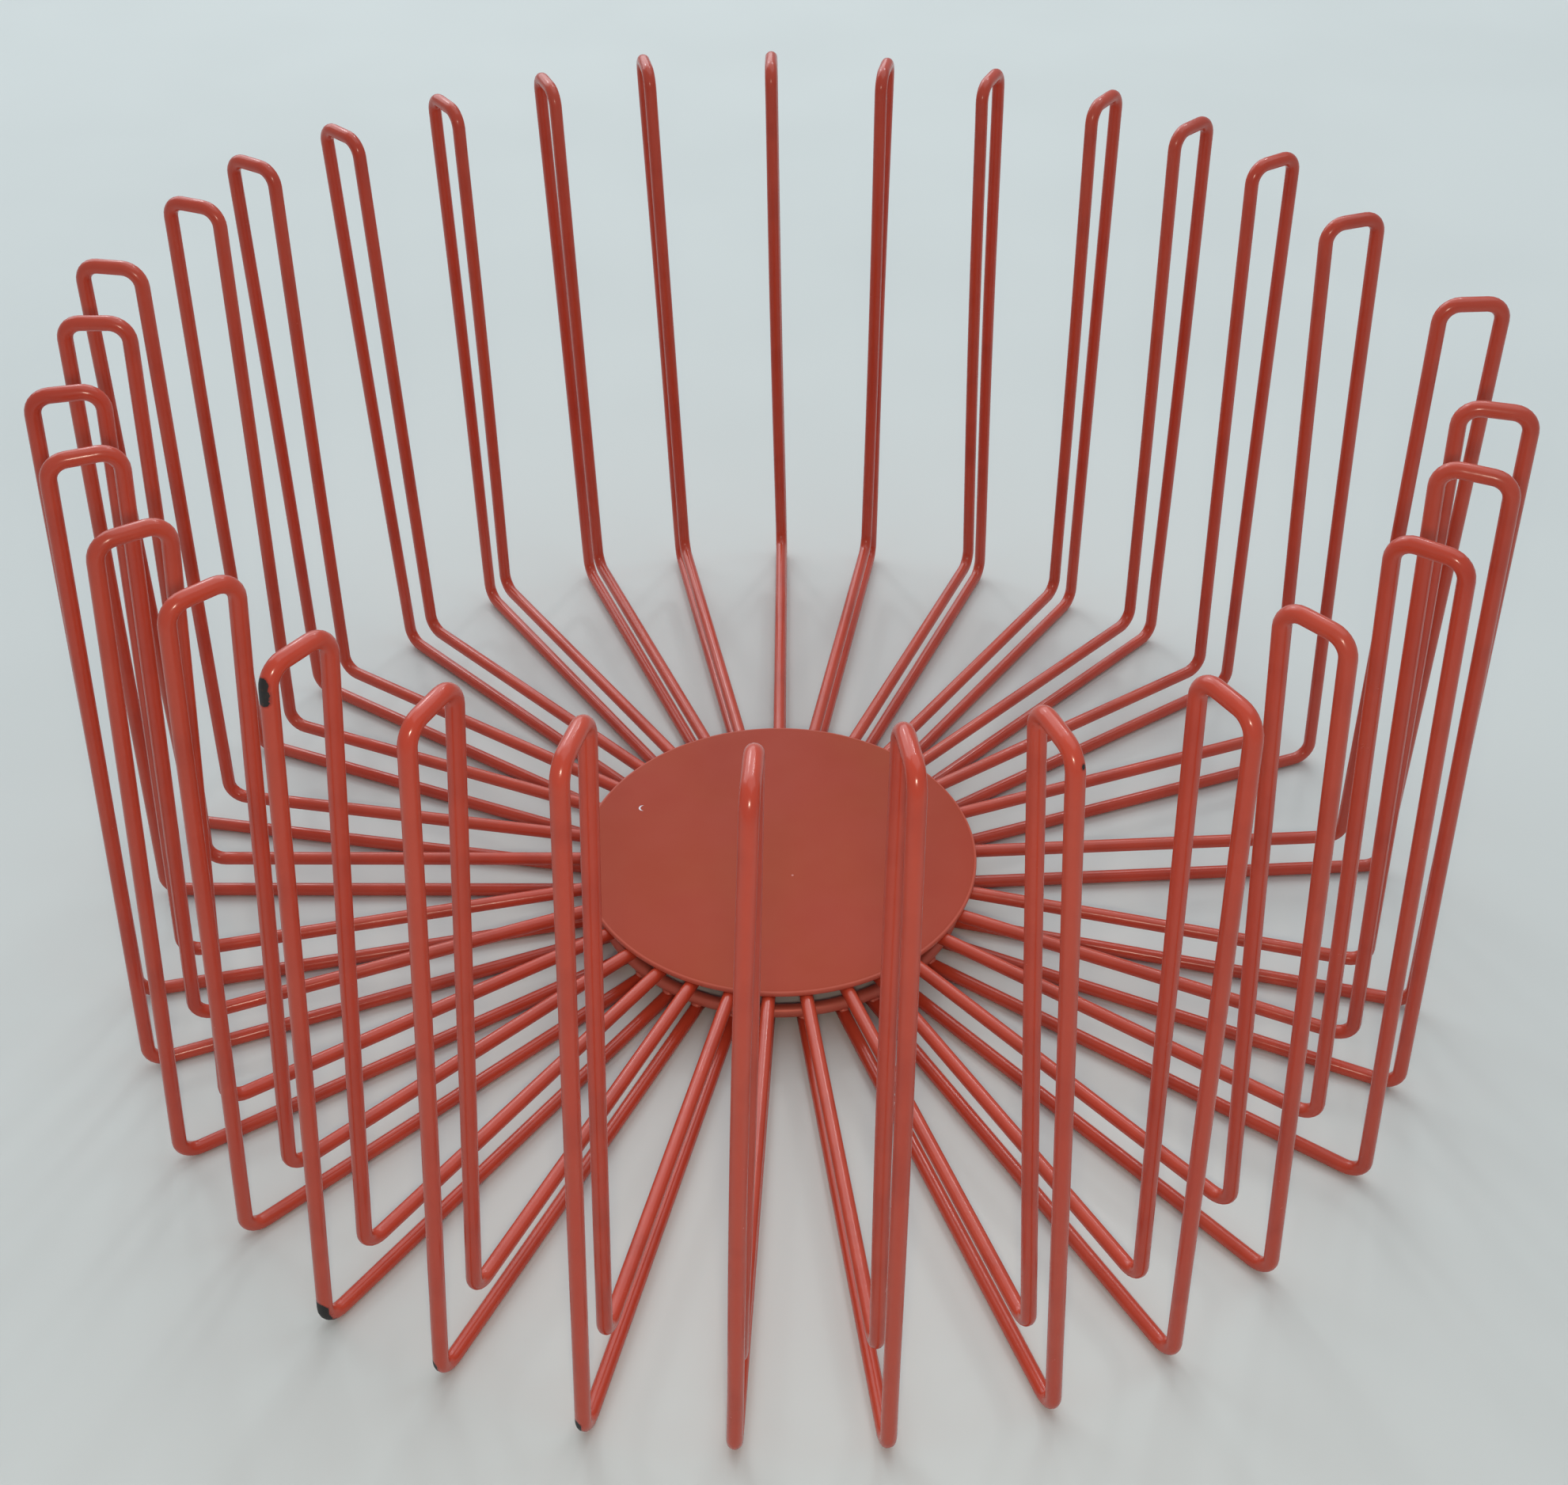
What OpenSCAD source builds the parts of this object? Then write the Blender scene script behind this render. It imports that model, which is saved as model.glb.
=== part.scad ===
// Round wire rack: bent wire prongs stand in a ring around a sheet disc.
// Each prong is one wire: in along the floor, up, over and down again, and back to the hub.
// The floor is z = 0 and the rack's axis is the Z axis. +Y is the back.

/* [Rack] */
// Number of prongs in the ring
prongs = 31; // [12:1:36]
// Diameter of the wire, mm
wire_d = 3; // [2:0.5:4]
// Gap on either side of the prong that stands alone, degrees
wide_gap = 17.5; // [12:0.5:24]
// The prong that stands alone
lone_prong = 8; // [1:1:12]

/* [Prong] */
// Radius of the ring of outer feet, mm
outer_foot_r = 146.5; // [125:0.5:170]
// Radius of the outer corners at the top, mm
outer_top_r = 140; // [120:0.5:165]
// Radius of the inner feet, where the upper spokes turn up, mm
inner_foot_r = 135; // [112:0.5:156]
// Radius of the inner corners at the top, mm
inner_top_r = 127.5; // [105:0.5:150]
// Height of the wire's centre along the top, mm
top_z = 150; // [60:1:220]
// Height of the upper spokes' centre above the floor, mm
upper_spoke_z = 11.5; // [9:0.5:20]
// Bend radius of the two top corners, at the wire's centre, mm
top_bend_r = 3.6; // [2.5:0.1:5.5]
// Bend radius of the two feet, at the wire's centre, mm
foot_bend_r = 4; // [2.5:0.1:5.5]

/* [Hub] */
// Diameter of the sheet disc on the upper spokes, mm
disc_d = 92.5; // [80:0.5:130]
// Thickness of the disc, mm
disc_t = 1.4; // [0.8:0.1:3]
// Radius of the wire ring on the lower spokes, at the wire's centre, mm
ring_r = 42; // [34:0.5:60]
// Depth that welded wires are pressed into each other, mm
weld_bite = 0.15; // [0.05:0.05:0.3]

/* [Hidden] */
// The prongs were set by hand, so each one stands a little out of true.
// Turn of each prong off its even place, anticlockwise from above, degrees
off_place = [0, 1, -0.5, -0.5, 0.5, 0.5, -2, -1.5, -2, -1, -0.5, -2.5, -2.5, -1.5, -2.5, -2,
    -1.5, -2, -1, -1, 0, 0, 2.5, 0.5, 2, 0.5, 1, 0.5, 0.5, 0, 0.5];
// Sideways lean of each prong, anticlockwise from above, degrees
side_lean = [1, -0.5, 1, 0, 0, 0.5, 0, -0.5, -0.5, -0.5, -1.5, -1.5, -1, -2, 0.5, 1.5,
    1, 2.5, 1.5, 2, 2, 1, -0.5, 0.5, 0, -0.5, 0.5, 2, 1.5, 2, 2];
// Push of each prong's top outwards, mm
top_push = [3, 1, 1.5, 2, 1, -0.5, -5.5, 1.5, -1, -2.5, -2, -4.5, 1.5, -2, -2.5, 1,
    -2.5, -4, -5.5, -6, -5.5, -4.5, -2.5, -3.5, 2, 1, 4, 1.5, 0.5, 1, 5];
// Push of each prong's feet outwards, mm
foot_push = [1, 1, 1, 0, 0.5, -1, -1, -1, -0.5, -0.5, 0, -1, 1.5, 2, 0, 1.5,
    -0.5, -1.5, 1, -1.5, 0.5, 0, 1, -1, 0.5, -0.5, 1.5, -2.5, 1.5, 0, 0];
// Extra push of each prong's outer foot outwards, mm
outer_push = [0, 0, 0, 0, 0, 0, 0, 0, 0, 0, 0.5, 0, 0, 0, 2.5, 0, 2.5, 1, 0.5];

wire_r = wire_d / 2;
// The wire swells slightly where it is bent, and a straight runs a little way into each bend
bend_swell = 0.03;
bend_overlap = 0.3;
lower_spoke_z = wire_r + bend_swell;
even_gap = (360 - 2 * wide_gap) / (prongs - 2);
first_angle = 89.5;
ring_z = lower_spoke_z + wire_d - weld_bite;
disc_z = upper_spoke_z + wire_r - weld_bite;
// How far the upper spokes reach in under the disc
disc_grip = 12;
upper_end_r = disc_d / 2 - disc_grip;
lower_end_r = ring_r - wire_r;
round_fn = 48;
disc_fn = 128;
wire_colour = [0.72, 0.25, 0.18];
disc_colour = [0.66, 0.27, 0.2];

function prong_name(i) = str("prong_", i < 10 ? "0" : "", i);

// A value for prong i, or 0 past the end of the list
function for_prong(values, i) = i <= len(values) ? values[i - 1] : 0;

// Even places run clockwise from the back, with a wide gap on each side of the lone prong
function wide_gaps(i) = (i >= lone_prong ? 1 : 0) + (i > lone_prong ? 1 : 0);
function even_angle(i) = first_angle - (i - 1) * even_gap - wide_gaps(i) * (wide_gap - even_gap);
function prong_angle(i) = even_angle(i) + for_prong(off_place, i);

// Headings and turns of a wire laid out in the XY plane
function heading(a, b) = atan2(b.y - a.y, b.x - a.x);
function wrapped(angle) = angle > 180 ? angle - 360 : angle < -180 ? angle + 360 : angle;
function turn(a, b, c) = wrapped(heading(b, c) - heading(a, b));
// Straight length that a bend of radius r takes from each side of its corner
function setback(a, b, c, r) = r * tan(abs(turn(a, b, c)) / 2);
function towards(a, b, distance) = a + (b - a) * distance / norm(b - a);

module straight(a, b) {
    translate([a.x, a.y, 0])
        rotate([0, 90, heading(a, b)])
            cylinder(r = wire_r, h = norm(b - a), $fn = round_fn);
}

module bend(a, b, c, r) {
    sweep = turn(a, b, c);
    side = sign(sweep);
    start = towards(b, a, setback(a, b, c, r));
    out = heading(a, b) - side * 90;
    centre = start - r * [cos(out), sin(out)];
    translate([centre.x, centre.y, 0])
        rotate([0, 0, sweep > 0 ? out : out + sweep])
            rotate_extrude(angle = abs(sweep), $fn = round_fn)
                translate([r, 0])
                    circle(r = wire_r + bend_swell, $fn = round_fn);
}

// One wire through the corner points, with a bend of radii[i] at each inner corner
module bent_wire(points, radii) {
    last = len(points) - 1;
    cuts = [for (i = [0:last]) i == 0 || i == last ? 0
        : setback(points[i - 1], points[i], points[i + 1], radii[i]) - bend_overlap];
    union() {
        for (i = [1:last])
            straight(towards(points[i - 1], points[i], cuts[i - 1]),
                towards(points[i], points[i - 1], cuts[i]));
        for (i = [1:last - 1])
            bend(points[i - 1], points[i], points[i + 1], radii[i]);
    }
}

// One prong, from its end under the disc to its end under the ring
module prong(i) {
    top = for_prong(top_push, i);
    foot = for_prong(foot_push, i);
    outer = for_prong(outer_push, i);
    points = [
        [upper_end_r, upper_spoke_z],
        [inner_foot_r + foot, upper_spoke_z],
        [inner_top_r + top, top_z],
        [outer_top_r + top, top_z],
        [outer_foot_r + foot + outer, lower_spoke_z],
        [lower_end_r, lower_spoke_z]
    ];
    radii = [0, foot_bend_r, top_bend_r, top_bend_r, foot_bend_r, 0];
    color(wire_colour)
        rotate([0, 0, prong_angle(i)])
            translate([0, 0, lower_spoke_z])
                rotate([-for_prong(side_lean, i), 0, 0])
                    translate([0, 0, -lower_spoke_z])
                        rotate([90, 0, 0])
                            bent_wire(points, radii);
}

// Sheet disc that lies on the upper spokes
module hub_disc() {
    color(disc_colour)
        translate([0, 0, disc_z])
            cylinder(d = disc_d, h = disc_t, $fn = disc_fn);
}

// Wire ring that lies on the lower spokes
module hub_ring() {
    color(wire_colour)
        translate([0, 0, ring_z])
            rotate_extrude($fn = disc_fn)
                translate([ring_r, 0])
                    circle(r = wire_r, $fn = round_fn);
}

hub_disc();
hub_ring();
for (i = [1:prongs])
    prong(i);
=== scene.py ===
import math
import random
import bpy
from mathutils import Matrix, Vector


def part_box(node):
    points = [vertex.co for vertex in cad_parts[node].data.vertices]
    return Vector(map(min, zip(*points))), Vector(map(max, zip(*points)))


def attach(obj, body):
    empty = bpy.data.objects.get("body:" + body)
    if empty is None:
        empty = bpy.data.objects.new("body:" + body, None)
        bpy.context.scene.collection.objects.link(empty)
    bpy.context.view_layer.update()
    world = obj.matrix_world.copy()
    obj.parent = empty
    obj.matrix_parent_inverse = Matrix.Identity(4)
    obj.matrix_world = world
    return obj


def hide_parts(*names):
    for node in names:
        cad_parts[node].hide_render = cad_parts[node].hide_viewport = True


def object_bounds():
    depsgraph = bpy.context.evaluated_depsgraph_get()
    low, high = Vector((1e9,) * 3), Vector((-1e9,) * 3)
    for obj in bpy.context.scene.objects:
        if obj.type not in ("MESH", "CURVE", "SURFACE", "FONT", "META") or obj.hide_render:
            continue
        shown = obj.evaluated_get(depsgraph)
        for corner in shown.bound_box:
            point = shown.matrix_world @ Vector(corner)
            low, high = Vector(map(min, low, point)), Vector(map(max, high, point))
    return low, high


bl_info = {
    "name": "Round Wire Rack",
    "version": (1, 0, 0),
    "blender": (4, 5, 0),
    "location": "3D View > Sidebar > Rack",
    "description": "Builds an enamelled round wire rack: its prongs, hub ring, hub disc and welds",
    "category": "Object",
}

import bmesh
import bpy
import numpy as np
from bpy.props import FloatProperty, FloatVectorProperty, IntProperty, PointerProperty
from mathutils import Vector, noise

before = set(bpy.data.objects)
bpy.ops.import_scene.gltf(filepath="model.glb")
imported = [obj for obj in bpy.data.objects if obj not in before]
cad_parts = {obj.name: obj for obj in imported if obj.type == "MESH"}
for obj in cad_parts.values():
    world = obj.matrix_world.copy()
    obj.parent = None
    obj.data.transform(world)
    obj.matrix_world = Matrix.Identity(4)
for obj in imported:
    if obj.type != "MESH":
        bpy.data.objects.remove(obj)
CAD_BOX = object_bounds()
BODY = "root"
PRONGS = sorted(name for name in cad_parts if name.startswith("prong_"))
MM = 0.001

# The legs are read clear of their bends: bands of height above the lower spokes' centre
TOP_BAND = 10 * MM
FOOT_BAND = 12 * MM
HEEL_BAND = (6 * MM, 22 * MM)

# Longest straight step along a wire's mesh, and steps around each bend
WIRE_STEP = 5 * MM
BEND_STEPS = 7

# Bare chips round lines near a prong's outer corners: the prong, the corner, the line's two ends
# outwards and up from the corner, the line's place aside of the prong and the radius, all in mm
CHIPS = (
    ("prong_19", "top", (1.3, -2.0), (1.3, -4.8), 0.0, 1.15),
    ("prong_14", "top", (1.1, -1.6), (1.1, -1.5), 0.8, 0.45),
    ("prong_19", "foot", (0.9, 5.07), (-0.4, -0.33), -0.3, 1.9),
    ("prong_17", "foot", (0.9, 3.87), (-0.4, -0.33), -1.0, 1.15),
    ("prong_18", "foot", (0.9, 3.67), (-0.4, -0.33), -1.1, 1.25),
)
# How unevenly a chip's edge is broken, as a share of its radius
CHIP_FRAY = 0.6
RUST = (0.09, 0.028, 0.012, 1)

# The two small marks on the disc: a nick, which is a circle with all but a crescent taken off by
# another one to its right, and a speck
NICK = (-32.5 * MM, 15.2 * MM)
NICK_RADIUS = 1.0 * MM
NICK_SHIFT = 0.45 * MM
NICK_COLOUR = (0.80, 0.76, 0.80, 1)
SPECK = (3.2 * MM, -8.7 * MM)
SPECK_RADIUS = 0.32 * MM
SPECK_COLOUR = (0.70, 0.30, 0.26, 1)

# The lamps: name, place, width and height in metres, power in watts
LAMPS = (
    ("window", (-0.9, 2.1, 1.6), 3.0, 2.2, 34),
    ("ceiling", (0.4, 0.5, 1.8), 2.0, 2.0, 12),
    ("left_pane", (-0.45, 1.11, 0.91), 0.12, 0.10, 1.1),
    ("right_pane", (0.38, 0.98, 1.08), 0.12, 0.10, 1.1),
)
LAMP_COLOUR = (0.90, 0.96, 1.0)
LAMP_TARGET = (0, 0, 0.05)
FRONT_LAMP_COLOUR = (1.0, 0.85, 0.68)
ROOM_COLOUR = (0.82, 0.92, 1.0, 1)
ROOM_STRENGTH = 0.44
FLOOR_HALF = 3.0


# ---------------------------------------------------------------- properties


class RackWireProps(bpy.types.PropertyGroup):
    """Sizes of the wire and its bends."""

    diameter: FloatProperty(
        name="Wire", description="Diameter of the wire", default=3 * MM, unit="LENGTH"
    )
    top_bar: FloatProperty(
        name="Top Bar",
        description="Length of a prong's top between its corners",
        default=12.5 * MM,
        unit="LENGTH",
    )
    upper_spoke: FloatProperty(
        name="Upper Spokes",
        description="Height of the upper spokes' centre",
        default=11.5 * MM,
        unit="LENGTH",
    )
    lower_spoke: FloatProperty(
        name="Lower Spokes",
        description="Height of the lower spokes' centre",
        default=1.53 * MM,
        unit="LENGTH",
    )
    top_bend: FloatProperty(
        name="Top Bends",
        description="Bend radius of the top corners",
        default=3.6 * MM,
        unit="LENGTH",
    )
    foot_bend: FloatProperty(
        name="Foot Bends",
        description="Bend radius of the feet",
        default=4 * MM,
        unit="LENGTH",
    )
    sides: IntProperty(
        name="Sides", description="Sides of the wire's mesh", default=20, min=8, max=48
    )
    bow: FloatProperty(
        name="Bow",
        description="How far a leg strays from straight",
        default=0.35 * MM,
        unit="LENGTH",
    )


class RackFinishProps(bpy.types.PropertyGroup):
    """Colours of the enamel and what shows through it."""

    enamel: FloatVectorProperty(
        name="Enamel",
        description="Main colour of the wire's enamel",
        subtype="COLOR",
        size=4,
        default=(0.54, 0.055, 0.024, 1),
    )
    enamel_deep: FloatVectorProperty(
        name="Thick Enamel",
        description="Colour where the enamel lies thick",
        subtype="COLOR",
        size=4,
        default=(0.33, 0.025, 0.010, 1),
    )
    enamel_chalky: FloatVectorProperty(
        name="Faded Enamel",
        description="Colour where the enamel has faded",
        subtype="COLOR",
        size=4,
        default=(0.53, 0.078, 0.041, 1),
    )
    disc: FloatVectorProperty(
        name="Disc Enamel",
        description="Main colour of the disc's duller enamel",
        subtype="COLOR",
        size=4,
        default=(0.385, 0.042, 0.015, 1),
    )
    disc_worn: FloatVectorProperty(
        name="Worn Disc Enamel",
        description="Browner colour where the disc's enamel is worn",
        subtype="COLOR",
        size=4,
        default=(0.375, 0.055, 0.015, 1),
    )
    # Painted highlight: the lighter rim colour stands in for the light that catches the disc's
    # edge
    disc_rim_highlight: FloatVectorProperty(
        name="Disc Rim",
        description="Lighter colour where the disc's enamel runs thin over its rim",
        subtype="COLOR",
        size=4,
        default=(0.60, 0.13, 0.085, 1),
    )
    bare: FloatVectorProperty(
        name="Bare Steel",
        description="Colour of the tarnished steel in a chip",
        subtype="COLOR",
        size=4,
        default=(0.012, 0.009, 0.008, 1),
    )


class RackStageProps(bpy.types.PropertyGroup):
    """Floor, light and camera."""

    floor: FloatVectorProperty(
        name="Floor",
        description="Colour of the plain floor",
        subtype="COLOR",
        size=4,
        default=(0.655, 0.675, 0.65, 1),
    )
    lens: FloatProperty(
        name="Lens", description="Focal length of the camera, mm", default=45.9
    )
    camera_back: FloatProperty(
        name="Camera Distance",
        description="How far in front of the rack's axis the camera stands",
        default=348.6 * MM,
        unit="LENGTH",
    )
    camera_height: FloatProperty(
        name="Camera Height",
        description="Height of the camera above the floor",
        default=326.8 * MM,
        unit="LENGTH",
    )
    camera_dip: FloatProperty(
        name="Camera Dip",
        description="How far the camera looks down",
        subtype="ANGLE",
        default=math.radians(38.8),
    )
    camera_pan: FloatProperty(
        name="Camera Pan",
        description="How far the camera turns right of the rack's axis",
        subtype="ANGLE",
        default=math.radians(0.21),
    )


# ------------------------------------------------------------------ shaders


class Sock:
    """One socket in Python expressions: | takes the larger of two and & the smaller."""

    def __init__(self, paint, socket):
        self.paint = paint
        self.socket = socket

    def _maths(self, operation, *values):
        return self.paint.node("ShaderNodeMath", {"operation": operation}, *values)

    def __add__(self, other):
        return self._maths("ADD", self, other)

    def __sub__(self, other):
        return self._maths("SUBTRACT", self, other)

    def __mul__(self, other):
        return self._maths("MULTIPLY", self, other)

    def __truediv__(self, other):
        return self._maths("DIVIDE", self, other)

    def __radd__(self, other):
        return self._maths("ADD", other, self)

    def __rsub__(self, other):
        return self._maths("SUBTRACT", other, self)

    def __rmul__(self, other):
        return self._maths("MULTIPLY", other, self)

    def __rtruediv__(self, other):
        return self._maths("DIVIDE", other, self)

    def __or__(self, other):
        return self._maths("MAXIMUM", self, other)

    def __and__(self, other):
        return self._maths("MINIMUM", self, other)

    def smooth(self, low, high):
        """0 below low, 1 above high, and a smooth step between them."""
        ranged = {"interpolation_type": "SMOOTHSTEP"}
        return self.paint.node("ShaderNodeMapRange", ranged, self, low, high, 0.0, 1.0)


class Paint:
    """One material and the nodes that it is made of."""

    def __init__(self, name):
        self.material = bpy.data.materials.new(name)
        self.material.use_nodes = True
        self.tree = self.material.node_tree
        self.tree.nodes.clear()
        self.place = self.node("ShaderNodeTexCoord", output="Object")

    def node(self, kind, settings=None, *values, output=0, **named):
        """Adds a node: its settings first, then its sockets' values or links, by order or name.

        A socket whose value is None keeps what it has.
        """
        made = self.tree.nodes.new(kind)
        for key, value in (settings or {}).items():
            setattr(made, key, value)
        for index, value in enumerate(values):
            self._feed(made.inputs[index], value)
        for key, value in named.items():
            self._feed(made.inputs[key.replace("_", " ")], value)
        return Sock(self, made.outputs[output]) if made.outputs else None

    def _feed(self, socket, value):
        if isinstance(value, Sock):
            self.tree.links.new(value.socket, socket)
        elif value is not None:
            socket.default_value = value

    def mix(self, base, over, amount):
        """Colour over laid on colour base by amount."""
        # The node's sockets for numbers and vectors come before the ones for colours
        others = [None] * 5
        kind = {"data_type": "RGBA"}
        return self.node("ShaderNodeMix", kind, amount, *others, base, over, output=2)

    def vector(self, operation, *values, output="Vector", **named):
        """One step of vector maths."""
        kind = {"operation": operation}
        return self.node("ShaderNodeVectorMath", kind, *values, output=output, **named)

    def distance(self, point):
        """Distance from a fixed point, in metres."""
        return self.vector("DISTANCE", self.place, point, output="Value")

    def distance_to_line(self, start, end):
        """Distance from the straight line between two fixed points, in metres."""
        line = end - start
        offset = self.vector("SUBTRACT", self.place, tuple(start))
        share = self.vector("DOT_PRODUCT", offset, tuple(line), output="Value")
        share = (share / line.length_squared | 0.0) & 1.0
        nearest = self.vector("SCALE", tuple(line), Scale=share)
        return self.vector("DISTANCE", offset, nearest, output="Value")

    def noise(self, size, detail=2.0, rough=0.5, shift=(0, 0, 0)):
        """Noise from 0 to 1 with features of about this size, in metres."""
        spot = self.vector("ADD", self.place, shift)
        return self.node(
            "ShaderNodeTexNoise",
            None,
            output="Fac",
            Vector=spot,
            Scale=1.0 / size,
            Detail=detail,
            Roughness=rough,
        )

    def bump(self, height, depth, normal=None):
        """Normal of a surface raised by height, 0 to 1, times depth in metres."""
        return self.node(
            "ShaderNodeBump",
            None,
            output="Normal",
            Strength=1.0,
            Distance=depth,
            Height=height,
            Normal=normal,
        )

    def finish(self, normal, colour, roughness, specular):
        """The material, with what varies over its surface linked and the rest set."""
        surface = self.node(
            "ShaderNodeBsdfPrincipled",
            None,
            Base_Color=colour,
            Roughness=roughness,
            Normal=normal,
            Specular_IOR_Level=specular,
        )
        self.node("ShaderNodeOutputMaterial", None, surface)
        return self.material


# ----------------------------------------------------------------- geometry


def mesh_points(name):
    """A CAD node's vertices as rows of x, y, z in metres."""
    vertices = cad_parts[name].data.vertices
    points = np.zeros(len(vertices) * 3)
    vertices.foreach_get("co", points)
    return points.reshape(-1, 3)


def spill(bend, slope):
    """How far a corner lies beyond the outermost point of its bend's centre line."""
    return bend / math.tan((math.pi / 2 - slope) / 2) - bend


class WireShape:
    """How one prong stands, read from its CAD node: its turn, its lean and its corners."""

    def __init__(self, name, wire):
        points = mesh_points(name)
        self.lift = wire.lower_spoke
        low = points[points[:, 2] < 2 * self.lift]
        self.turn = math.atan2(low[:, 1].mean(), low[:, 0].mean())
        along = points[:, 0] * math.cos(self.turn) + points[:, 1] * math.sin(self.turn)
        across = points[:, 1] * math.cos(self.turn) - points[:, 0] * math.sin(self.turn)
        up = points[:, 2] - self.lift
        high = up > up.max() - TOP_BAND
        tip = up > up.max() - wire.diameter
        middle = up.max() - wire.diameter / 2
        aside = (across[tip].min() + across[tip].max()) / 2
        self.lean = math.atan2(aside, middle)
        self.top = math.hypot(middle, aside)
        self.upper_end = along[up > wire.upper_spoke - wire.diameter].min()
        self.lower_end = along[up < self.lift].min()
        inner_edge = along[high].min() + self.lift
        outer_edge = along[up < FOOT_BAND].max() - self.lift
        inside = along < outer_edge - 1.5 * wire.diameter
        heel = inside & (up > HEEL_BAND[0]) & (up < HEEL_BAND[1])
        heel_edge = along[heel].max() - self.lift
        self.inner_top, self.inner_foot, self.outer_foot = inner_edge, heel_edge, outer_edge
        # A corner's place depends on the leg's slope and the slope on the corners
        for _ in range(4):
            self.outer_top = self.inner_top + wire.top_bar
            slope = math.atan2(self.inner_foot - self.inner_top, self.top - wire.upper_spoke)
            self.inner_top = inner_edge - spill(wire.top_bend, slope)
            self.inner_foot = heel_edge + spill(wire.foot_bend, slope)
            slope = math.atan2(self.outer_foot - self.outer_top, self.top)
            self.outer_foot = outer_edge + spill(wire.foot_bend, slope)

    def place(self, along, up, aside=0.0):
        """The point of the rack at this place in the prong's own plane, or beside that plane."""
        tilt = up - self.lift
        across = aside * math.cos(self.lean) + tilt * math.sin(self.lean)
        height = self.lift + tilt * math.cos(self.lean) - aside * math.sin(self.lean)
        x = along * math.cos(self.turn) - across * math.sin(self.turn)
        y = along * math.sin(self.turn) + across * math.cos(self.turn)
        return Vector((x, y, height))


def rounded_path(corners, radii):
    """Points along a flat path whose inner corners are rounded to the radii, as Vectors."""
    path = [corners[0]]
    for index in range(1, len(corners)):
        corner = corners[index]
        back = (corners[index - 1] - corner).normalized()
        if index == len(corners) - 1:
            arc = [corner]
        else:
            ahead = (corners[index + 1] - corner).normalized()
            half = math.acos(max(-1.0, min(1.0, back.dot(ahead)))) / 2
            radius = radii[index]
            reach = radius / math.tan(half)
            centre = corner + (back + ahead).normalized() * (radius / math.sin(half))
            start = corner + back * reach - centre
            stop = corner + ahead * reach - centre
            sweep = start.angle(stop)
            arc = []
            for k in range(BEND_STEPS + 1):
                part = k / BEND_STEPS
                spread = math.sin((1 - part) * sweep) * start + math.sin(part * sweep) * stop
                arc.append(centre + spread / math.sin(sweep))
        begin = path[-1]
        length = (arc[0] - begin).length
        count = max(1, round(length / WIRE_STEP))
        path += [begin.lerp(arc[0], k / count) for k in range(1, count)]
        path += arc
    return path


def tube(bm, path, sides, radius, swell, closed=False):
    """A round tube along the path, swelled at each point, its ends cut flat unless closed."""
    count = len(path)
    rings = []
    up = None
    for index in range(count):
        before = path[index - 1] if index or closed else path[0]
        after = path[(index + 1) % count] if index < count - 1 or closed else path[-1]
        along = (after - before).normalized()
        if up is None:
            up = along.orthogonal()
        up = (up - along * up.dot(along)).normalized()
        side = along.cross(up)
        size = radius * swell[index]
        ring = []
        for k in range(sides):
            angle = 2 * math.pi * k / sides
            offset = up * math.cos(angle) + side * math.sin(angle)
            ring.append(bm.verts.new(path[index] + offset * size))
        rings.append(ring)
    pairs = list(zip(rings, rings[1:]))
    if closed:
        pairs.append((rings[-1], rings[0]))
    for first, second in pairs:
        for k in range(sides):
            n = (k + 1) % sides
            bm.faces.new((first[k], first[n], second[n], second[k]))
    if not closed:
        bm.faces.new(rings[0][::-1])
        bm.faces.new(rings[-1])


def turned(bm, profile, steps):
    """A closed solid turned round the Z axis from a profile that starts and ends on it."""
    top = bm.verts.new((0, 0, profile[0].y))
    bottom = bm.verts.new((0, 0, profile[-1].y))
    rings = []
    for point in profile[1:-1]:
        angles = [2 * math.pi * k / steps for k in range(steps)]
        ring = [(point.x * math.cos(a), point.x * math.sin(a), point.y) for a in angles]
        rings.append([bm.verts.new(spot) for spot in ring])
    for k in range(steps):
        n = (k + 1) % steps
        bm.faces.new((top, rings[0][k], rings[0][n]))
        bm.faces.new((bottom, rings[-1][n], rings[-1][k]))
        for first, second in zip(rings, rings[1:]):
            bm.faces.new((first[k], second[k], second[n], first[n]))


def weld_point(spot, centre, turn, size, seed, bm):
    """One point of a bead, from its direction on a unit ball."""
    lump = 1.0 + 0.28 * noise.noise(spot * 1.7 + Vector((seed * 3.1, seed * 1.7, 0.5)))
    x = spot.x * size[0] * lump
    y = spot.y * size[1] * lump
    z = spot.z * size[2] * lump
    place = (
        centre.x + x * math.cos(turn) - y * math.sin(turn),
        centre.y + x * math.sin(turn) + y * math.cos(turn),
        centre.z + z,
    )
    return bm.verts.new(place)


def weld_bead(bm, centre, turn, size, seed):
    """A lumpy bead of weld metal: size is its half length along, across and up."""
    rows, columns = 7, 12
    grid = []
    for row in range(1, rows):
        tilt = math.pi * row / rows
        ring = []
        for column in range(columns):
            spin = 2 * math.pi * column / columns
            flat = math.sin(tilt)
            spot = Vector((flat * math.cos(spin), flat * math.sin(spin), math.cos(tilt)))
            ring.append(weld_point(spot, centre, turn, size, seed, bm))
        grid.append(ring)
    top = weld_point(Vector((0, 0, 1)), centre, turn, size, seed, bm)
    bottom = weld_point(Vector((0, 0, -1)), centre, turn, size, seed, bm)
    for k in range(columns):
        n = (k + 1) % columns
        bm.faces.new((top, grid[0][k], grid[0][n]))
        bm.faces.new((bottom, grid[-1][n], grid[-1][k]))
        for first, second in zip(grid, grid[1:]):
            bm.faces.new((first[k], second[k], second[n], first[n]))


def made_material(name):
    """A material that an earlier operator made."""
    material = bpy.data.materials.get(name)
    if material is None:
        raise RuntimeError(f"there is no {name} yet: add the prongs first")
    return material


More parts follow.
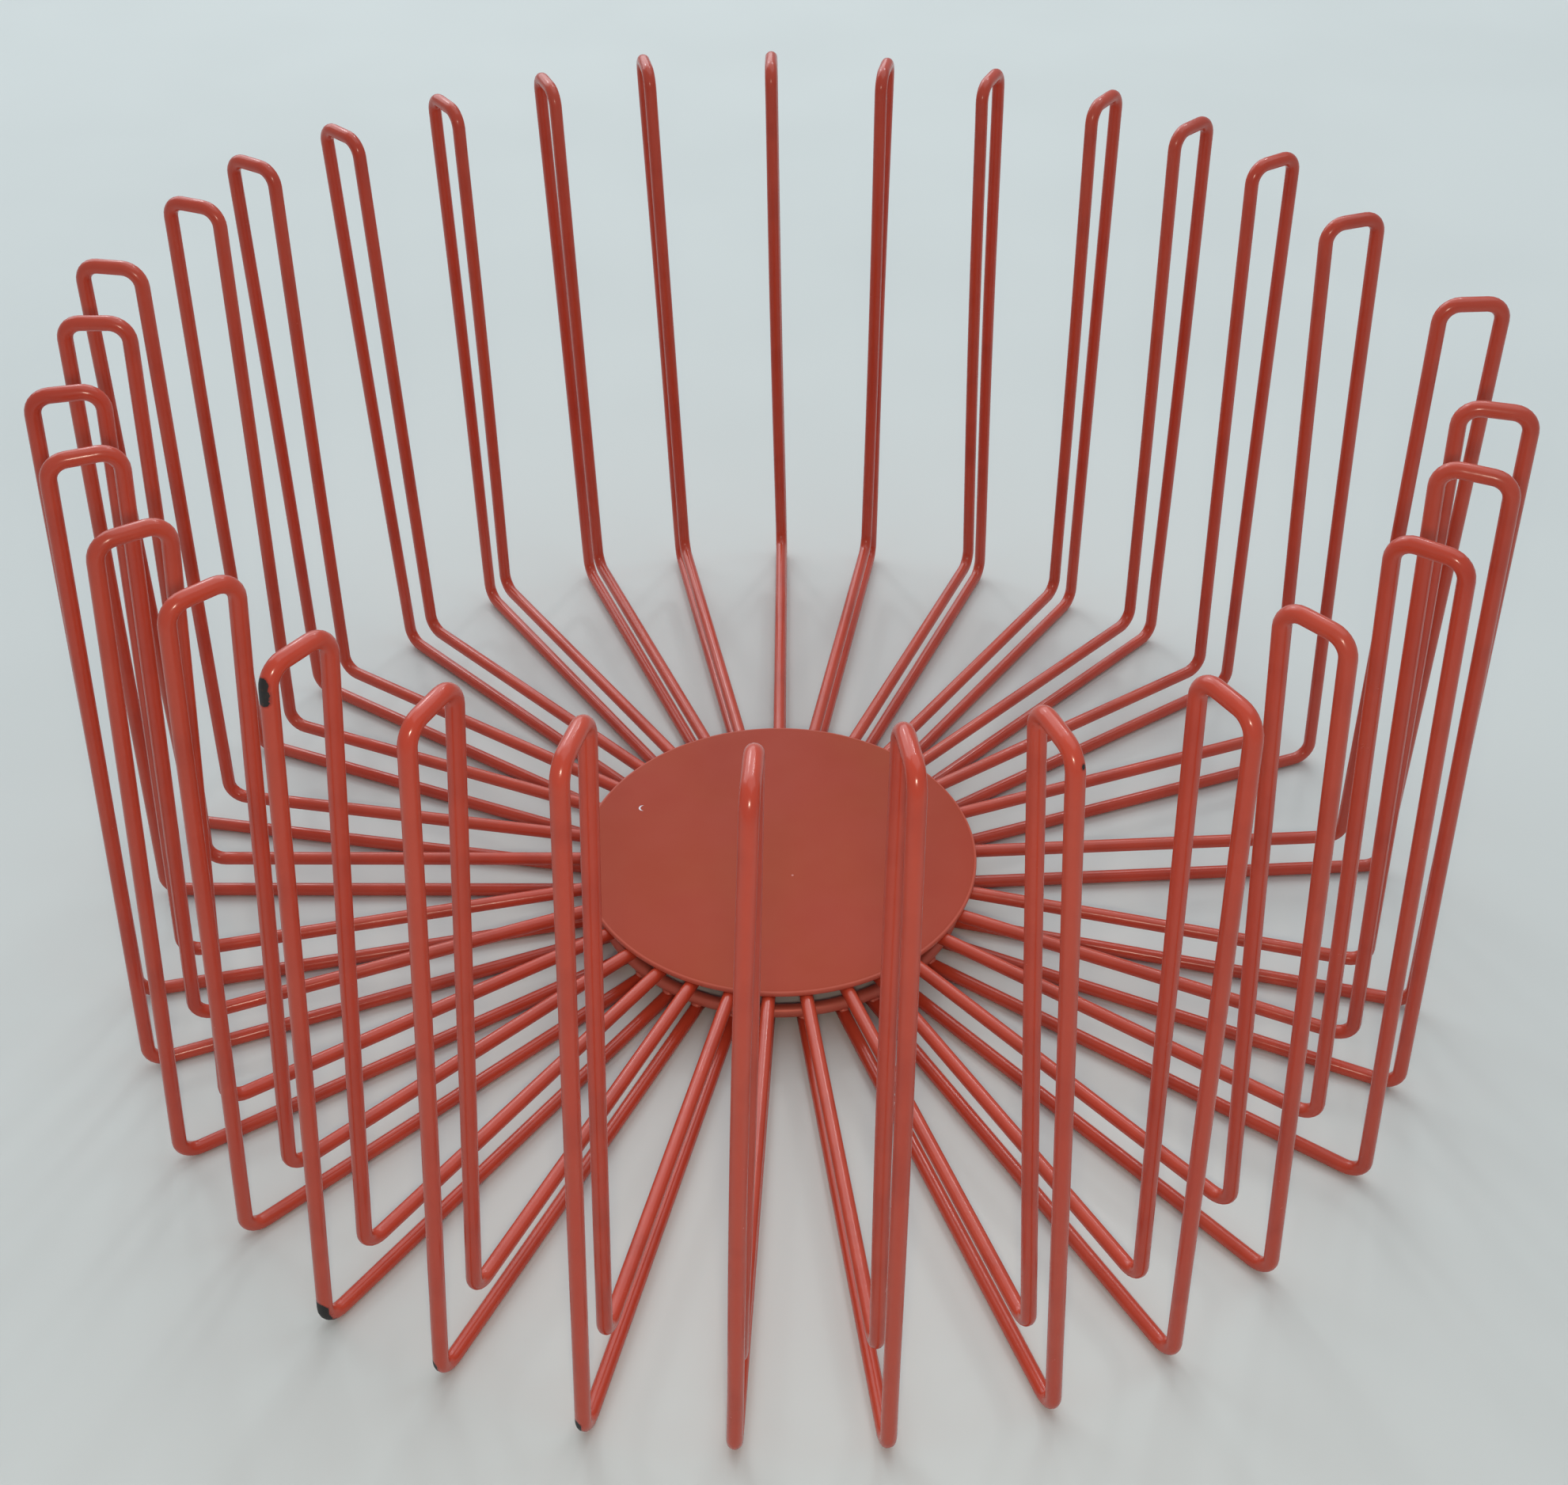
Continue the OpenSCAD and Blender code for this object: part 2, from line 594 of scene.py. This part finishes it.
def finish_piece(bm, name, material, replaced):
    """Turns the mesh into a named object of the rack."""
    bmesh.ops.recalc_face_normals(bm, faces=bm.faces)
    mesh = bpy.data.meshes.new(name)
    bm.to_mesh(mesh)
    bm.free()
    mesh.shade_smooth()
    mesh.set_sharp_from_angle(angle=math.radians(50))
    mesh.materials.append(material)
    piece = bpy.data.objects.new(name, mesh)
    bpy.context.scene.collection.objects.link(piece)
    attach(piece, BODY)
    if replaced:
        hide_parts(*replaced)


def cut_end(path, radius):
    """Adds a ring just inside each end, and the sizes that round the cut's edge off."""
    share = 0.12
    rim = share * radius
    first = path[0].lerp(path[1], rim / (path[1] - path[0]).length)
    last = path[-1].lerp(path[-2], rim / (path[-2] - path[-1]).length)
    longer = [path[0], first] + path[1:-1] + [last, path[-1]]
    sizes = [1 - share] + [1.0] * len(path) + [1 - share]
    return longer, sizes


def prong_path(shape, wire, draw):
    """Centre line of one prong, whose legs are bowed a little between their bends."""
    corners = [
        Vector((shape.upper_end, wire.upper_spoke)),
        Vector((shape.inner_foot, wire.upper_spoke)),
        Vector((shape.inner_top, shape.top + shape.lift)),
        Vector((shape.outer_top, shape.top + shape.lift)),
        Vector((shape.outer_foot, wire.lower_spoke)),
        Vector((shape.lower_end, wire.lower_spoke)),
    ]
    radii = [0, wire.foot_bend, wire.top_bend, wire.top_bend, wire.foot_bend, 0]
    flat = rounded_path(corners, radii)
    bows = [draw.uniform(-1, 1) * wire.bow for _ in range(2)]
    path = []
    # The bends themselves stay true
    clear = 6 * MM
    low = wire.upper_spoke + clear
    high = shape.top - clear
    for index, point in enumerate(flat):
        share = (point.y - low) / (high - low)
        bow = bows[index * 2 // len(flat)]
        aside = bow * math.sin(math.pi * share) if 0 < share < 1 else 0.0
        path.append(shape.place(point.x, point.y, aside))
    return path


# ---------------------------------------------------------------- materials


def chip_lines(wire):
    """Start, end and radius of each bare chip on the wires."""
    lines = []
    for name, corner, start, end, aside, radius in CHIPS:
        shape = WireShape(name, wire)
        if corner == "top":
            out, up = shape.outer_top, shape.top + shape.lift
        else:
            out, up = shape.outer_foot, shape.lift
        ends = [shape.place(out + x * MM, up + z * MM, aside * MM) for x, z in (start, end)]
        lines.append((*ends, radius * MM))
    return lines


def chipped(paint, chips):
    """Depth inside the nearest chip, in metres, with an edge frayed by noise."""
    ragged = paint.noise(1.1 * MM, 3.0, 0.6) - 0.5
    inside = None
    for start, end, size in chips:
        depth = size - paint.distance_to_line(start, end) + ragged * (CHIP_FRAY * size)
        inside = depth if inside is None else inside | depth
    return inside


def wire_enamel(finish, chips):
    """Semi-gloss coral enamel on wire: faintly uneven, and chipped at a few bends."""
    paint = Paint("wire_enamel")
    cloud = paint.noise(40 * MM, 2.0, 0.5).smooth(0.3, 0.7)
    fine = paint.noise(4 * MM, 2.0, 0.5, (0.3, 0.1, 0.2))
    thick = paint.noise(14 * MM, 2.0, 0.5, (0.7, 0.4, 0.9)).smooth(0.45, 0.75)
    scuff = paint.noise(2.4 * MM, 5.0, 0.7, (0.2, 0.8, 0.5)).smooth(0.68, 0.76)
    colour = paint.mix(tuple(finish.enamel), tuple(finish.enamel_chalky), cloud * 0.5)
    deep = thick * 0.3 + (fine - 0.5) * 0.2
    colour = paint.mix(colour, tuple(finish.enamel_deep), (deep | 0.0) & 1.0)
    colour = paint.mix(colour, tuple(finish.enamel_chalky), scuff * 0.4)
    depth = chipped(paint, chips)
    bare = depth.smooth(0.0, 0.10 * MM)
    rim = depth.smooth(-0.30 * MM, -0.02 * MM) & (1.0 - bare)
    colour = paint.mix(colour, tuple(finish.enamel_deep), rim * 0.8)
    colour = paint.mix(colour, tuple(finish.bare), bare)
    rust = paint.noise(0.9 * MM, 3.0, 0.6, (0.6, 0.2, 0.1)).smooth(0.58, 0.7)
    colour = paint.mix(colour, RUST, bare * rust * 0.5)
    roughness = 0.20 + cloud * 0.05 + scuff * 0.2 + (fine - 0.5) * 0.05 + bare * 0.34
    peel = paint.noise(1.5 * MM, 1.0, 0.4, (0.9, 0.5, 0.3))
    lumps = paint.noise(6 * MM, 2.0, 0.5, (0.4, 0.6, 0.1))
    normal = paint.bump(peel, 0.03 * MM)
    normal = paint.bump(lumps, 0.06 * MM, normal)
    normal = paint.bump(1.0 - bare, 0.10 * MM, normal)
    return paint.finish(normal, colour, roughness, 0.5)


def disc_enamel(finish, disc_radius, disc_top):
    """Satin enamel on sheet: faintly mottled, with a painted highlight along the rim, a nick and a
    speck.
    """
    paint = Paint("disc_enamel")
    cloud = paint.noise(34 * MM, 2.0, 0.5, (0.1, 0.7, 0.0)).smooth(0.3, 0.7)
    mottle = paint.noise(6 * MM, 3.0, 0.5, (0.5, 0.2, 0.0))
    colour = paint.mix(tuple(finish.disc), tuple(finish.disc_worn), cloud * 0.7)
    shade = ((mottle - 0.4) * 0.35 | 0.0) & 1.0
    colour = paint.mix(colour, tuple(finish.enamel_deep), shade)
    ring = NICK_RADIUS - paint.distance((*NICK, disc_top))
    bite = paint.distance((NICK[0] + NICK_SHIFT, NICK[1], disc_top)) - NICK_RADIUS
    nick = (ring & bite).smooth(-0.03 * MM, 0.05 * MM)
    speck = SPECK_RADIUS - paint.distance((*SPECK, disc_top))
    speck = speck.smooth(0.0, 0.1 * MM)
    flat = paint.vector("MULTIPLY", paint.place, (1, 1, 0))
    # The lighter band round the rim is a painted highlight where light catches the disc's edge
    radial = paint.vector("LENGTH", flat, output="Value")
    rim = radial.smooth(disc_radius - 0.75 * MM, disc_radius - 0.35 * MM)
    colour = paint.mix(colour, tuple(finish.disc_rim_highlight), rim * 0.8)
    colour = paint.mix(colour, NICK_COLOUR, nick)
    colour = paint.mix(colour, SPECK_COLOUR, speck * 0.7)
    roughness = 0.52 + cloud * 0.05 + (mottle - 0.5) * 0.08 + nick * 0.1 - rim * 0.22
    peel = paint.noise(1.6 * MM, 1.0, 0.4, (0.3, 0.3, 0.3))
    waves = paint.noise(26 * MM, 1.0, 0.4, (0.8, 0.1, 0.6))
    normal = paint.bump(peel, 0.012 * MM)
    normal = paint.bump(waves, 0.25 * MM, normal)
    normal = paint.bump(1.0 - nick, 0.06 * MM, normal)
    return paint.finish(normal, colour, roughness, 0.22)


def floor_paint(colour):
    """Plain pale matt floor."""
    paint = Paint("plain_floor")
    tone = paint.noise(120 * MM, 2.0, 0.5).smooth(0.3, 0.7)
    shade = tuple(channel * 0.97 for channel in colour[:3]) + (1.0,)
    base = paint.mix(tuple(colour), shade, tone)
    return paint.finish(None, base, 0.85, 0.2)


# ---------------------------------------------------------------- operators


class RACK_OT_add_prongs(bpy.types.Operator):
    """Add every bent wire prong"""

    bl_idname = "rack.add_prongs"
    bl_label = "Add Prongs"

    def execute(self, context):
        if not PRONGS:
            raise RuntimeError("the frame has no prongs")
        wire = context.scene.rack_wire
        material = wire_enamel(context.scene.rack_finish, chip_lines(wire))
        for number, name in enumerate(PRONGS):
            draw = random.Random(number)
            shape = WireShape(name, wire)
            path, sizes = cut_end(prong_path(shape, wire, draw), wire.diameter / 2)
            bm = bmesh.new()
            tube(bm, path, wire.sides, wire.diameter / 2, sizes)
            finish_piece(bm, f"wire_{name}", material, [name])
        return {"FINISHED"}


class RACK_OT_add_ring(bpy.types.Operator):
    """Add the wire ring under the disc, with the seam of its butt weld"""

    bl_idname = "rack.add_ring"
    bl_label = "Add Hub Ring"

    def execute(self, context):
        wire = context.scene.rack_wire
        low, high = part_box("hub_ring")
        radius = wire.diameter / 2
        middle = high.x - radius
        height = (low.z + high.z) / 2
        seam = math.radians(118)
        seam_half = 1.3 * MM
        # The wire is drawn a hair thin, and the weld swells it by a tenth
        plain, swollen = 0.995, 0.10
        count = 180
        path = []
        sizes = []
        for k in range(count):
            angle = 2 * math.pi * k / count
            path.append(Vector((middle * math.cos(angle), middle * math.sin(angle), height)))
            away = abs(math.remainder(angle - seam, 2 * math.pi)) * middle
            sizes.append(plain + swollen * math.exp(-((away / seam_half) ** 2)))
        bm = bmesh.new()
        tube(bm, path, wire.sides, radius, sizes, closed=True)
        material = made_material("wire_enamel")
        finish_piece(bm, "ring_wire", material, ["hub_ring"])
        return {"FINISHED"}


class RACK_OT_add_disc(bpy.types.Operator):
    """Add the sheet disc with its rounded edge"""

    bl_idname = "rack.add_disc"
    bl_label = "Add Hub Disc"

    def execute(self, context):
        low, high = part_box("hub_disc")
        radius = high.x
        edge = (high.z - low.z) / 2
        # The rounded edge is shallower than a half circle
        round_in = edge * 0.6
        flat = radius * 0.98
        rings_above, rings_below, edge_steps, sides = 12, 6, 8, 144
        profile = [Vector((flat * k / rings_above, high.z)) for k in range(rings_above + 1)]
        for k in range(1, edge_steps):
            angle = math.pi * k / edge_steps
            out = radius - round_in + round_in * math.sin(angle)
            profile.append(Vector((out, low.z + edge + edge * math.cos(angle))))
        profile += [Vector((flat * k / rings_below, low.z)) for k in range(rings_below, -1, -1)]
        bm = bmesh.new()
        turned(bm, profile, sides)
        material = disc_enamel(context.scene.rack_finish, radius, high.z)
        finish_piece(bm, "disc_sheet", material, ["hub_disc"])
        return {"FINISHED"}


class RACK_OT_add_welds(bpy.types.Operator):
    """Add the weld beads at the ring and under the disc"""

    bl_idname = "rack.add_welds"
    bl_label = "Add Welds"

    def execute(self, context):
        wire = context.scene.rack_wire
        ring_low, ring_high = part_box("hub_ring")
        disc_low, disc_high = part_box("hub_disc")
        ring_radius = ring_high.x - wire.diameter / 2
        contact = (ring_low.z + wire.lower_spoke + wire.diameter / 2) / 2
        # Each ring weld is a bead on either side of the wires' contact
        beside = 0.75 * MM
        disc_weld = disc_high.x - 5.5 * MM
        disc_weld_height = disc_low.z - 0.35 * MM
        bm = bmesh.new()
        # Each bead has its own number, so that no two are lumped alike
        for number, name in enumerate(PRONGS):
            shape = WireShape(name, wire)
            bulk = random.Random(100 + number).uniform(0.85, 1.15)
            size = (0.85 * MM * bulk, 1.25 * MM * bulk, 0.5 * MM)
            outer = shape.place(ring_radius + beside, contact)
            weld_bead(bm, outer, shape.turn, size, number)
            inner = shape.place(ring_radius - beside, contact)
            weld_bead(bm, inner, shape.turn, size, number + 40)
            size = (3.2 * MM * bulk, 1.9 * MM, 0.6 * MM)
            upper = shape.place(disc_weld, disc_weld_height)
            weld_bead(bm, upper, shape.turn, size, number + 80)
        material = made_material("wire_enamel")
        finish_piece(bm, "weld_beads", material, [])
        return {"FINISHED"}


def area_light(name, place, width, height, power, colour):
    """A soft rectangular lamp that faces the rack and isn't seen itself."""
    lamp = bpy.data.lights.new(name, "AREA")
    lamp.shape = "RECTANGLE"
    lamp.size = width
    lamp.size_y = height
    lamp.energy = power
    lamp.color = colour
    holder = bpy.data.objects.new(name, lamp)
    holder.location = place
    aim = Vector(LAMP_TARGET) - Vector(place)
    holder.rotation_euler = aim.to_track_quat("-Z", "Y").to_euler()
    holder.visible_camera = False
    bpy.context.scene.collection.objects.link(holder)


class RACK_OT_set_stage(bpy.types.Operator):
    """Set the floor, the soft light and the camera"""

    bl_idname = "rack.set_stage"
    bl_label = "Set Stage"

    def execute(self, context):
        stage = context.scene.rack_stage
        self.add_floor(stage)
        self.add_light(context, stage)
        self.add_camera(context, stage)
        return {"FINISHED"}

    def add_floor(self, stage):
        half = FLOOR_HALF
        mesh = bpy.data.meshes.new("floor")
        points = [(-half, -half, 0), (half, -half, 0), (half, half, 0), (-half, half, 0)]
        mesh.from_pydata(points, [], [(0, 1, 2, 3)])
        mesh.materials.append(floor_paint(tuple(stage.floor)))
        floor = bpy.data.objects.new("floor", mesh)
        floor.location.z = CAD_BOX[0].z
        bpy.context.scene.collection.objects.link(floor)

    def add_light(self, context, stage):
        world = bpy.data.worlds.new("soft_room")
        world.use_nodes = True
        background = world.node_tree.nodes["Background"]
        background.inputs["Color"].default_value = ROOM_COLOUR
        background.inputs["Strength"].default_value = ROOM_STRENGTH
        context.scene.world = world
        for name, place, width, height, power in LAMPS:
            area_light(name, place, width, height, power, LAMP_COLOUR)
        # A small warm lamp just under the camera
        drop = 20 * MM
        below = (
            0,
            -stage.camera_back - drop * math.sin(stage.camera_dip),
            stage.camera_height - drop * math.cos(stage.camera_dip),
        )
        area_light("front_box", below, 0.03, 0.02, 0.34, FRONT_LAMP_COLOUR)

    def add_camera(self, context, stage):
        lens = bpy.data.cameras.new("camera")
        lens.lens = stage.lens
        lens.sensor_width = 36
        lens.clip_start = 0.01
        camera = bpy.data.objects.new("camera", lens)
        camera.location = (0, -stage.camera_back, stage.camera_height)
        camera.rotation_euler = (math.pi / 2 - stage.camera_dip, 0, -stage.camera_pan)
        context.scene.collection.objects.link(camera)
        context.scene.camera = camera
        context.scene.view_settings.view_transform = "Standard"


class RACK_PT_panel(bpy.types.Panel):
    """The rack's operators and settings"""

    bl_idname = "RACK_PT_panel"
    bl_label = "Round Wire Rack"
    bl_space_type = "VIEW_3D"
    bl_region_type = "UI"
    bl_category = "Rack"

    def draw(self, context):
        layout = self.layout
        for operator in OPERATORS:
            layout.operator(operator.bl_idname)
        for key, group in GROUPS.items():
            box = layout.box()
            for setting in group.__annotations__:
                box.prop(getattr(context.scene, key), setting)


GROUPS = {
    "rack_wire": RackWireProps,
    "rack_finish": RackFinishProps,
    "rack_stage": RackStageProps,
}
OPERATORS = (
    RACK_OT_set_stage,
    RACK_OT_add_prongs,
    RACK_OT_add_ring,
    RACK_OT_add_disc,
    RACK_OT_add_welds,
)


def register():
    for group in GROUPS.values():
        bpy.utils.register_class(group)
    for key, group in GROUPS.items():
        setattr(bpy.types.Scene, key, PointerProperty(type=group))
    for operator in OPERATORS:
        bpy.utils.register_class(operator)
    bpy.utils.register_class(RACK_PT_panel)


def unregister():
    bpy.utils.unregister_class(RACK_PT_panel)
    for operator in reversed(OPERATORS):
        bpy.utils.unregister_class(operator)
    for key, group in GROUPS.items():
        delattr(bpy.types.Scene, key)
        bpy.utils.unregister_class(group)


def corners(box):
    return [list(box[0]), list(box[1])]


def main():
    register()
    bpy.ops.rack.set_stage()
    bpy.ops.rack.add_prongs()
    bpy.ops.rack.add_ring()
    bpy.ops.rack.add_disc()
    bpy.ops.rack.add_welds()


if __name__ == "__main__":
    main()
